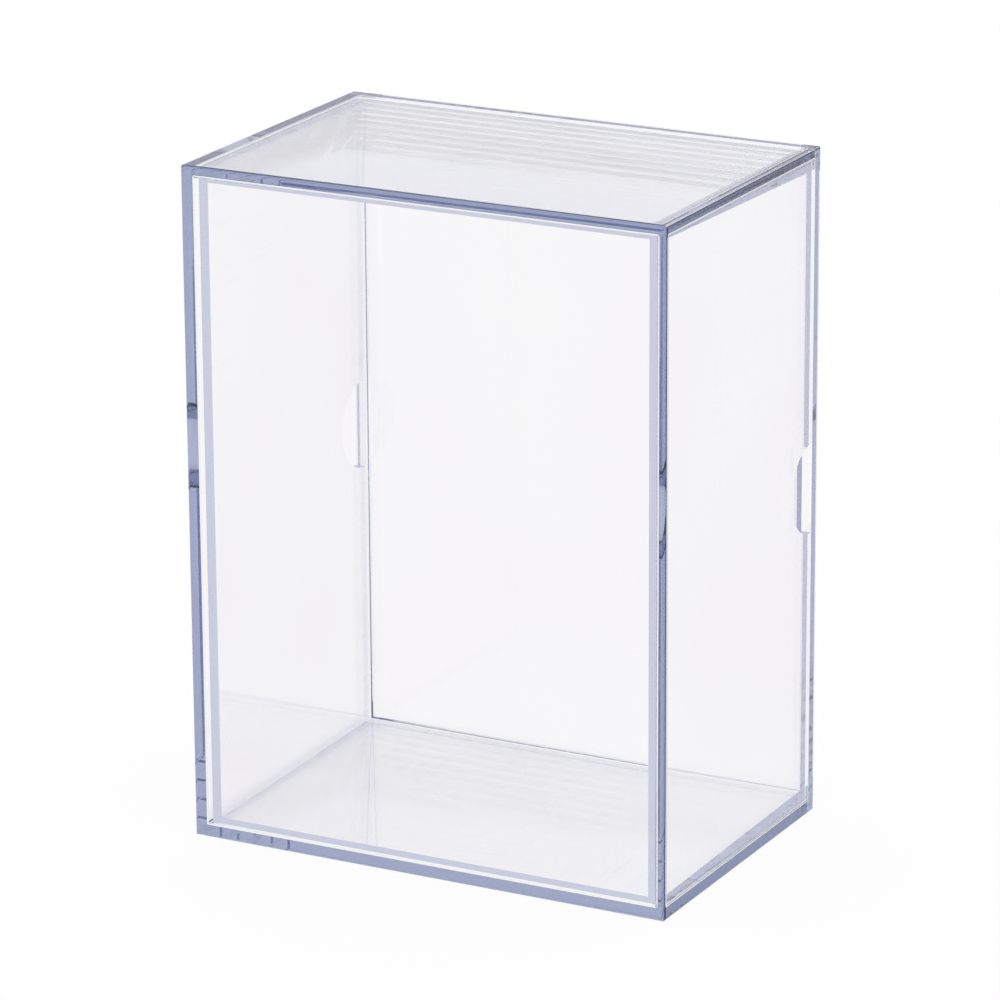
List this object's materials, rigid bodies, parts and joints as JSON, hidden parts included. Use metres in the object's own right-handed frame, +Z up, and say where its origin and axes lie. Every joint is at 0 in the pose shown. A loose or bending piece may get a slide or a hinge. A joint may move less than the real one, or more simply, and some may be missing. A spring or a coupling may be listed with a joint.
{
  "type": "trading card display case",
  "caption": "Clear slider case for trading cards: a shell open at the back, with thumb notches, and a flanged tray that slides out of it.",
  "frame": {"origin": "centre of the footprint, on the surface that the case stands on", "axes": "+Z up along the case's height, +X to the right seen from the front, +Y towards the back, the way the tray slides out"},
  "size_m": [0.073, 0.048, 0.0965],
  "materials": {
    "shell_plastic": "clear polystyrene, polished mould finish, faint blue tint",
    "tray_plastic": "clear polystyrene, polished mould finish, faint blue tint"
  },
  "bodies": {
    "shell": {"outer_shell": "shell_plastic"},
    "tray": {"inner_tray": "tray_plastic"}
  },
  "joints": [
    {"name": "tray_slide", "type": "slide", "parent": "shell", "child": "tray", "axis": [0, 1, 0], "range_m": [0, 0.05]}
  ]
}
